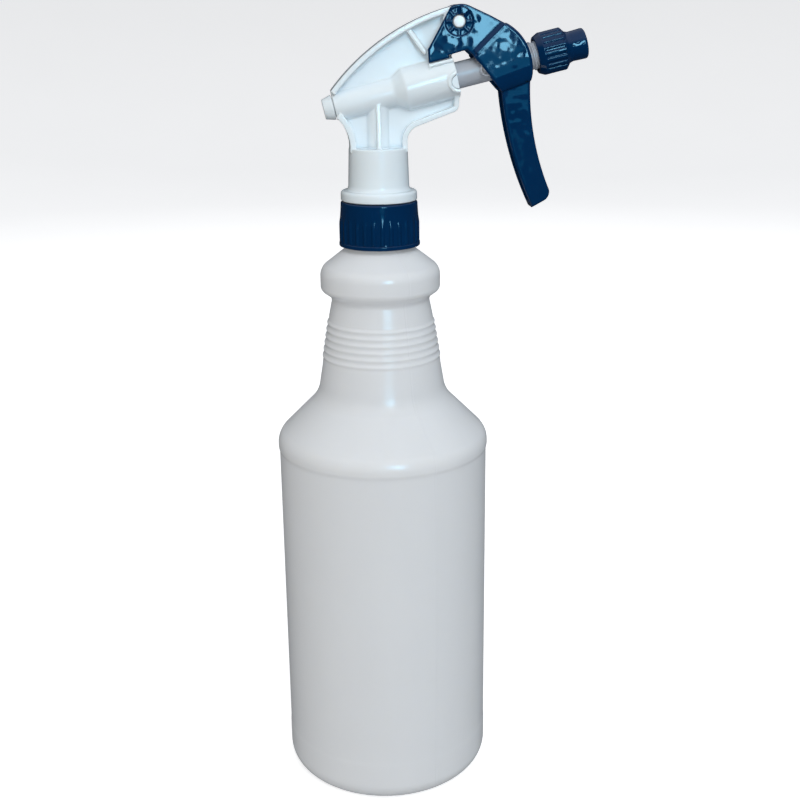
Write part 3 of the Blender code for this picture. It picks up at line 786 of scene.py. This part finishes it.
def chamber_profile():
    """The bore through the barrel: the plug's hole, the piston's chamber and the bushing's seat."""
    return [
        (0, BARREL_REAR_S - 3),
        (4.0, BARREL_REAR_S - 3),
        (4.0, 10.0),
        (6.6, 11.0),
        (6.6, BUSHING_SEAT_S),
        (BUSHING_SEAT_R, BUSHING_SEAT_S),
        (BUSHING_SEAT_R, BARREL_FRONT_S + 3),
        (0, BARREL_FRONT_S + 3),
    ]


def make_sprayer_body(look):
    barrel = barrel_matrix()
    rib = capsule((12.0, 321.9), (18.5, 313.2), 1.9)
    body = fuse(
        slab(body_outline(), WEB_HALF),
        slab(ribbon(top_edge()[::-1], RIM_THICK), RIM_HALF),
        slab(ribbon(left_edge(), RIM_THICK + 0.4), RIM_HALF),
        slab(ribbon(right_edge(), RIM_THICK), RIM_HALF),
        slab(rib, RIM_HALF - 0.6),
        disc_y(PIVOT, 6.2, RIM_HALF - 0.05, 56),
        disc_y(PIVOT, STUB_R, 7.0, 40),
        lathe(barrel_profile(), 72, place=barrel),
        slab(bar_outline(LEDGE_S, BARREL_FRONT_S - 0.1, 6.0, LEDGE_H), 7.0),
        slab(bar_outline(LEDGE_S - 0.1, LEDGE_S + 0.9, 4.0, LEDGE_H - 0.1), 6.9),
        slab(lug_outline(4.3, BARREL_FRONT_S - 0.06), 8.8),
        cylinder(4.5, 272.0, 295.0, 48),
        riser_fin(-1),
        riser_fin(1),
        lathe(neck_profile(), 96),
    )
    lug_hole = arc(on_barrel(BARREL_FRONT_S - 0.1, LUG_HEIGHT), 2.8, 0, 348, 29)
    raw = cut(
        body,
        lathe(chamber_profile(), 56, place=barrel),
        cylinder(NECK_BORE_R, 250.0, 268.5, 56),
        cylinder(1.6, 267.0, BARREL_Z - 1.0, 24),
        *both_sides(lug_hole, 5.5, 10.0),
    )
    soften(raw, voxel=0.26, passes=5, keep=0.35)
    finish_piece(raw, "sprayer_moulding", "sprayer_body", "head", look)


def make_rear_plug(look):
    profile = [
        (0, -22.0),
        *rounded([(3.0, -22.0), (3.9, -22.0), (4.8, -18.8), (PLUG_R, -18.2)], [0.5, 1.0], steps=5),
        (PLUG_R, BARREL_REAR_S - GAP),
        (PLUG_PIN_R, BARREL_REAR_S - GAP),
        (PLUG_PIN_R, -14.6),
        (2.2, -14.6),
        (1.8, -10.5),
        (0, -10.5),
    ]
    raw = lathe(profile, 64, place=barrel_matrix())
    finish_piece(raw, "rear_plug_moulding", "rear_plug", "head", look, 35.0)


def make_front_bushing(look):
    """The collar that the piston tube slides in, held by two lugs in the barrel's half-round notches."""
    outer = BUSHING_SEAT_R - GAP
    inner = TUBE_R + GAP
    rear, front = BUSHING_SEAT_S + GAP, BARREL_FRONT_S - 0.2
    profile = [(inner, rear), (outer, rear), (outer, front), (inner + GAP, front), (inner, front - GAP)]
    lugs = both_sides(lug_outline(2.5, front - 0.1), 6.2, 8.5)
    raw = fuse(lathe(profile, 64, place=barrel_matrix()), *lugs)
    finish_piece(raw, "front_bushing_moulding", "front_bushing", "head", look, 35.0)


# Piston tube and nozzle


def tube_thread(radius, height, angle):
    """The thread stands out from the tube's end."""
    if abs(radius - TUBE_ROOT_R) > 0.02 or height < TUBE_THREAD_S - 0.1:
        return radius
    turns = (TUBE_END_S - TUBE_THREAD_S) / TUBE_THREAD_PITCH - 0.9
    bump_out = thread_bump(angle, height, TUBE_THREAD_S, TUBE_THREAD_PITCH, turns, 0.1, 0.3)
    return radius + TUBE_THREAD_DEPTH * bump_out


def make_piston_tube(look):
    place = barrel_matrix()
    outside = [(1.6, 19.5), (4.0, 19.5), (4.0, 23.0), (TUBE_R, 23.0), (TUBE_R, TUBE_THREAD_S - 0.5)]
    outside += [(TUBE_ROOT_R, z) for z in levels(TUBE_THREAD_S, TUBE_END_S - 0.6, 0.2)]
    outside += [(TUBE_R - 0.5, TUBE_END_S), (2.7, TUBE_END_S)]
    inside = [(2.7, 61.6), (1.3, 60.0), (1.3, 58.6), (2.0, 58.0), (2.0, 24.0)]
    raw = lathe(outside + inside, 64, tube_thread, place)
    turn = place @ Matrix.Translation((0, 0, TRUNNION_S)) @ Matrix.Rotation(math.pi / 2, 4, "X")
    trunnions = cylinder(TRUNNION_R, -7.0, 7.0, 48, turn)
    bore = cylinder(2.3, 30.0, 55.0, 32, place)
    rims = [cylinder(1.6, low, low + 2.0, 32, turn) for low in (-8.4, 6.4)]
    raw = cut(fuse(raw, trunnions), bore, *rims)
    finish_piece(raw, "piston_tube_moulding", "piston_tube", "piston", look, 32.0)


def nozzle_ribs(radius, height, angle):
    """Rounded grips between narrower hollows, fading out at both ends of the wide part."""
    if radius < NOZZLE_R - 0.35:
        return radius
    run = smoothstep(67.4, 68.2, height) * (1 - smoothstep(75.7, 76.3, height))
    hollow = 1 - smoothstep(-0.75, 0.35, math.cos(NOZZLE_RIBS * angle))
    return radius - 0.5 * hollow * run


def nozzle_thread(radius, height, angle):
    """The thread stands in from the cavity's wall, and its groove runs where the tube's thread is."""
    if abs(radius - NOZZLE_THREAD_R) > 0.01 or not 67.2 < height < 71.9:
        return radius
    rise = (height - TUBE_THREAD_S) / TUBE_THREAD_PITCH - (angle % FULL_TURN) / FULL_TURN
    groove = trapezoid(rise - math.floor(rise), 0.24, 0.44)
    return radius - TUBE_THREAD_DEPTH * (1 - groove)


def make_nozzle_cap(look):
    outside = [(0, NOZZLE_REAR_S)]
    outside += rounded(
        [(6.0, NOZZLE_REAR_S), (7.15, NOZZLE_REAR_S), (NOZZLE_R, 67.3), (NOZZLE_R, 67.9)],
        [0.5, 0.8],
        steps=5,
    )
    outside += [(NOZZLE_R, z) for z in levels(68.1, 75.6, 0.3)]
    outside += rounded(
        [(NOZZLE_R, 75.8), (NOZZLE_R, 76.1), (6.3, 77.7), (SNOUT_R - 0.1, 79.2), (SNOUT_R, 82.0)],
        [0.25, 0.8, 1.0],
        steps=5,
    )
    outside += rounded(
        [(SNOUT_R + 0.08, 84.0), (SNOUT_R + 0.1, NOZZLE_END_S), (4.0, NOZZLE_END_S)],
        [1.0],
        steps=6,
    )
    outside += [(0, NOZZLE_END_S)]
    body = lathe(outside, NOZZLE_RIBS * 12, nozzle_ribs)
    wide = NOZZLE_THREAD_R
    cavity = [(0, 60.0), (wide + GAP, 60.0), (wide + GAP, 66.8)]
    cavity += [(wide, z) for z in levels(67.1, 72.0, 0.25)]
    cavity += [(wide, 75.3), (3.8, 75.3), (3.8, 83.2), (0.5, 83.6), (0.5, 84.1), (1.6, 87.0), (0, 87.0)]
    raw = cut(body, lathe(cavity, 56, nozzle_thread))
    raw.data.transform(barrel_matrix())
    finish_piece(raw, "nozzle_moulding", "nozzle_cap", "nozzle_cap", look, 32.0)


# Trigger


def shoulder_outline():
    """The trigger's upper part, from its tail on the ledge round the pivot to the groove."""
    foot = LEDGE_H + GAP
    tail = [
        on_barrel(22.2, foot),
        on_barrel(30.5, foot),
        on_barrel(30.5, foot + 1.1),
        (34.9, 313.9),
        (38.0, 311.2),
    ]
    crown = arc_through((28.4, 329.9), (31.8, 330.95), (36.6, 330.0), 16)
    return tail + [(51.4, 322.9), (44.2, 326.6)] + crown[::-1] + [(19.5, 314.1)]


def yoke_outline():
    """The wider part that straddles the tube, from the groove down to the step above the handle."""
    step_back, step_front = STEP_LINE
    front = arc_through(step_front, (61.0, 308.0), (50.2, 323.9), 30)
    return [(37.3, 311.3), (38.4, 310.1), (45.2, 302.0), step_back] + front


def handle_front():
    return arc_through((60.6, 301.0), (62.5, 280.5), HANDLE_TIP, 30)


def handle_back():
    return arc_through((62.2, 251.6), (53.6, 274.0), (48.9, 298.0), 30)


def handle_outline():
    tip = arc_through(HANDLE_TIP, (69.0, 256.2), (67.6, 254.5), 8)
    return [(60.85, 304.3)] + handle_front()[:-1] + tip + handle_back() + [(52.0, 303.0)]


def tube_slot():
    """Room for the tube and its thread at every angle of the trigger, open at the front."""
    return [
        (37.9, 311.4),
        (50.6, 323.0),
        (54.0, 328.0),
        (72.0, 324.0),
        (72.0, 307.4),
        (59.6, 304.6),
        (59.4, 301.6),
        (49.5, 299.5),
        (42.0, 297.0),
        (33.0, 309.0),
    ]


def trunnion_slot():
    """The slot that the tube's trunnion slides in, along the line from the pivot to it."""
    x, z = on_barrel(TRUNNION_S, 0)
    along = Vector((x - PIVOT[0], z - PIVOT[1])).normalized()
    across = Vector((-along.y, along.x)) * (TRUNNION_R + 0.42)
    near, far = [Vector(PIVOT) + along * reach for reach in (16.8, 24.2)]
    return [tuple(near - across), tuple(far - across), tuple(far + across), tuple(near + across)]


def spoked_recess():
    """The pockets round each pivot stub, between thin spokes, as wedge outlines."""
    wedges = []
    pitch, half_spoke = 360 / SPOKES, 4
    for number in range(SPOKES):
        start = pitch * number + half_spoke
        end = start + pitch - 2 * half_spoke
        outer = arc(PIVOT, HUB_R, start, end, 10)
        inner = arc(PIVOT, STUB_R + 0.75, start + half_spoke, end - half_spoke, 6)
        wedges.append(outer + inner[::-1])
    return wedges


def groove_ramp(side):
    """Slopes the shoulder's side out to the yoke's, along the line where they meet."""
    low, high = map(Vector, GROOVE_LINE)
    along = (high - low).normalized()
    back = Vector((-along.y, along.x))
    points = []
    for step, reach in [(1.8, 6.7), (1.8, 6.88), (0.1, 7.85), (-0.6, 7.85), (-0.6, 6.7)]:
        x, z = low + along * 0.5 + back * step
        points.append((x, side * reach, z))
    travel = along * ((high - low).length - 1.0)
    return sweep(points, (travel.x, 0, travel.y))


def knuckle_wedge(side):
    """Slopes the yoke's side in towards the handle, over the last few millimetres above the step."""
    low, high = map(Vector, STEP_LINE)
    along = (high - low).normalized()
    up = Vector((-along.y, along.x))
    start = low - along * 4
    height, narrow, flare, outside = 8.0, 5.5, 2.5, 12.0
    angles = [math.pi / 2 * i / 8 for i in range(9)]
    roll = [(height - height * math.cos(a), narrow + flare * math.sin(a)) for a in angles]
    top = height + 0.4
    points = []
    for rise, reach in [(0.0, outside), (top, outside), (top, narrow + flare)] + roll[::-1]:
        x, z = start + up * rise
        points.append((x, side * reach, z))
    travel = along * 20
    return sweep(points, (travel.x, 0, travel.y))


def make_trigger(look):
    body = fuse(
        round_sides(slab(shoulder_outline(), SHOULDER_HALF), 0.9),
        round_sides(slab(yoke_outline(), YOKE_HALF), 1.3, 5),
        round_sides(slab(handle_outline(), HANDLE_HALF), 1.1),
        groove_ramp(-1),
        groove_ramp(1),
    )
    saddle = [(15, 300), (15, 336), (38.6, 336), (38.6, 327.5)]
    saddle += [(43.8, 324.9), (48.6, 322.4), (36.0, 306.0)]
    back = [(x - 14, z - 3) for x, z in (handle_back()[-1], handle_back()[0])]
    channel = offset_line(handle_front(), -HANDLE_WALL)
    hollow = [(59.0, 303.0)] + channel[1:-1] + [(62.0, 254.8), back[1], back[0]]
    cuts = [
        slab(saddle, RIM_HALF + GAP + 0.05),
        slab(tube_slot(), 6.3),
        slab(hollow, HANDLE_HOLLOW_HALF),
        disc_y(PIVOT, STUB_R + GAP, 10.0, 48),
        knuckle_wedge(-1),
        knuckle_wedge(1),
        *both_sides(trunnion_slot(), 6.0, 7.25),
        *both_sides(arc(PIVOT, HUB_R, 0, 352.5, 47), 6.65, 8.0),
    ]
    for wedge in spoked_recess():
        cuts += both_sides(wedge, 6.35, 8.0)
    raw = soften(cut(body, *cuts), voxel=0.2, passes=4, keep=0.35)
    finish_piece(raw, "trigger_moulding", "trigger", "trigger", look)


# Stage


def area_light(name, place, target, size, power, colour=(1.0, 1.0, 1.0), only_gloss=False):
    """A soft box that the camera does not see. Only glossy pieces show an only_gloss one."""
    light = bpy.data.lights.new(name, "AREA")
    light.shape = "RECTANGLE"
    light.size, light.size_y = size
    light.energy = power
    light.color = colour
    obj = bpy.data.objects.new(name, light)
    bpy.context.scene.collection.objects.link(obj)
    obj.location = place
    obj.rotation_euler = (Vector(target) - Vector(place)).to_track_quat("-Z", "Y").to_euler()
    obj.visible_camera = False
    obj.visible_glossy = only_gloss
    obj.visible_diffuse = not only_gloss


def make_camera():
    """The camera faces the near side from about the sprayer's own height, and looks down."""
    distance, height = 0.49544, 0.32529
    orbit, heading = math.radians(-4.0), 0.0306
    pitch, roll = 0.3037, -0.0074
    focal_px, centre_px, image_px = 1214.06, 417.8, 800.0
    level = math.cos(pitch)
    forward = Vector((math.sin(heading) * level, math.cos(heading) * level, -math.sin(pitch)))
    right = Vector((math.cos(heading), -math.sin(heading), 0))
    up = right.cross(forward)
    right, up = math.cos(roll) * right + math.sin(roll) * up, math.cos(roll) * up - math.sin(roll) * right
    around = Matrix.Rotation(orbit, 3, "Z")
    right, up, forward = around @ right, around @ up, around @ forward
    camera = bpy.data.cameras.new("camera")
    camera.sensor_width = 36.0
    camera.lens = focal_px / image_px * camera.sensor_width
    camera.shift_x = (image_px / 2 - centre_px) / image_px
    camera.clip_start = 0.01
    obj = bpy.data.objects.new("camera", camera)
    bpy.context.scene.collection.objects.link(obj)
    pose = Matrix((right, up, -forward)).transposed().to_4x4()
    pose.translation = around @ Vector((0, -distance, height))
    obj.matrix_world = pose
    bpy.context.scene.camera = obj


def floor_material():
    made, nodes, links, shader = new_material("pale_floor")
    shader.inputs["Emission Color"].default_value = (1.0, 1.0, 1.0, 1.0)
    shader.inputs["Emission Strength"].default_value = 0.5
    tone = colours(nodes, links, noise(nodes, links, 8.0, 3.0), (0.86, 0.86, 0.86), (0.90, 0.90, 0.90))
    links.new(tone, shader.inputs["Base Color"])
    shader.inputs["Roughness"].default_value = 0.9
    shader.inputs["Specular IOR Level"].default_value = 0.1
    return made


def make_floor():
    """A round floor that curves up into a wall. It is seen, but throws no light, gloss or shadow."""
    look = floor_material()
    curve = arc((FLOOR_R, FLOOR_CURVE - FLOOR_DROP), FLOOR_CURVE, -90, 0, 16)
    profile = [(0, -FLOOR_DROP), (FLOOR_R, -FLOOR_DROP)] + curve[1:]
    profile += [(FLOOR_R + FLOOR_CURVE, 2 * FLOOR_CURVE)]
    bm = bmesh.new()
    verts = [bm.verts.new((radius, 0, height)) for radius, height in profile]
    edges = [bm.edges.new(pair) for pair in zip(verts, verts[1:])]
    bmesh.ops.spin(bm, geom=verts + edges, axis=(0, 0, 1), angle=FULL_TURN, steps=64, use_merge=True)
    bmesh.ops.remove_doubles(bm, verts=bm.verts, dist=1e-3)
    floor = raw_object(bm, "floor")
    floor.data.transform(Matrix.Scale(MM, 4))
    floor.data.shade_smooth()
    floor.data.materials.append(look)
    floor.visible_glossy = False
    floor.visible_diffuse = False
    floor.visible_shadow = False


def make_world():
    """A studio that is dark below and round the sides, and bright overhead."""
    world = bpy.data.worlds.new("studio")
    bpy.context.scene.world = world
    world.use_nodes = True
    nodes, links = world.node_tree.nodes, world.node_tree.links
    place = nodes.new("ShaderNodeTexCoord")
    split = nodes.new("ShaderNodeSeparateXYZ")
    links.new(place.outputs["Generated"], split.inputs["Vector"])
    ramp = nodes.new("ShaderNodeValToRGB")
    ramp.color_ramp.elements[0].position = 0.70
    ramp.color_ramp.elements[0].color = (0.05, 0.06, 0.08, 1.0)
    ramp.color_ramp.elements[1].position = 0.85
    ramp.color_ramp.elements[1].color = (0.88, 0.90, 0.94, 1.0)
    halve = nodes.new("ShaderNodeMapRange")
    halve.inputs["From Min"].default_value = -1.0
    halve.inputs["From Max"].default_value = 1.0
    links.new(split.outputs["Z"], halve.inputs["Value"])
    links.new(halve.outputs["Result"], ramp.inputs["Fac"])
    links.new(ramp.outputs["Color"], nodes["Background"].inputs["Color"])
    nodes["Background"].inputs["Strength"].default_value = 0.55


def soft_lights():
    """The boxes that light the object's shape."""
    middle = (0, 0, 0.2)
    area_light(
        "key",
        place=(0.05, -1.15, 1.05),
        target=middle,
        size=(0.7, 0.7),
        power=9.5,
        colour=(0.97, 1.0, 1.0),
    )
    area_light(
        "fill",
        place=(1.0, -0.6, 0.9),
        target=middle,
        size=(0.8, 1.0),
        power=4.3,
        colour=(0.86, 0.94, 1.0),
    )
    area_light(
        "warm_side",
        place=(-1.1, -0.4, 0.5),
        target=(0, 0, 0.1),
        size=(0.6, 0.8),
        power=2.3,
        colour=(1.0, 0.84, 0.66),
    )
    area_light(
        "low_front",
        place=(-0.1, -1.1, 0.12),
        target=(0, 0, 0.03),
        size=(0.9, 0.2),
        power=3.4,
        colour=(1.0, 0.97, 0.93),
    )
    area_light("bounce", place=(0, 0, -0.6), target=(0, 0, 0), size=(2.0, 2.0), power=5.0)
    area_light("back", place=(0.2, 1.2, 1.1), target=middle, size=(1.4, 0.8), power=6.0)


def reflected_lights():
    """The blue window that the glossy pieces mirror, as three panes over a sill and a faint glow."""
    for number, across in enumerate((0.12, 0.26, 0.40)):
        area_light(
            f"window_{number}",
            place=(across, -1.4, 0.57),
            target=(0.04, 0, 0.31),
            size=(0.08, 0.58),
            power=2.3,
            colour=(0.28, 0.72, 1.0),
            only_gloss=True,
        )
    area_light(
        "sill",
        place=(0.25, -1.4, 0.24),
        target=(0.05, 0, 0.31),
        size=(0.5, 0.08),
        power=0.16,
        colour=(0.05, 0.55, 1.0),
        only_gloss=True,
    )
    area_light(
        "glow",
        place=(0.12, -1.4, 0.08),
        target=(0.05, 0, 0.29),
        size=(0.34, 0.16),
        power=0.10,
        colour=(0.05, 0.60, 1.0),
        only_gloss=True,
    )


# Everything


def dress_cad_pieces(looks):
    """Every CAD piece gets the material of its slot in the record. Those inside stay as they are."""
    for part in frame["record"]["subparts"]:
        obj = frame["nodes"][part["node"]]
        obj.data.materials.clear()
        obj.data.materials.append(looks[part["material_slot"]])


def main():
    looks = {
        "natural_bottle": bottle_plastic(),
        "navy_plastic": navy_plastic(),
        "white_plastic": white_plastic(),
        "natural_plastic": natural_plastic(),
        "clear_tube": clear_plastic(),
        "seal_rubber": rubber("nitrile_seal", (0.02, 0.02, 0.022), (0.04, 0.04, 0.042)),
        "gasket_foam": rubber("closed_cell_foam", (0.70, 0.70, 0.67), (0.80, 0.80, 0.77)),
        "steel": steel(),
    }
    dress_cad_pieces(looks)
    make_bottle(looks["natural_bottle"])
    make_closure(looks["navy_plastic"])
    make_sprayer_body(looks["white_plastic"])
    make_rear_plug(looks["white_plastic"])
    make_front_bushing(looks["white_plastic"])
    make_piston_tube(looks["natural_plastic"])
    make_nozzle_cap(looks["navy_plastic"])
    make_trigger(looks["navy_plastic"])
    make_floor()
    make_world()
    soft_lights()
    reflected_lights()
    make_camera()
    bpy.context.scene.view_settings.view_transform = "Standard"


main()
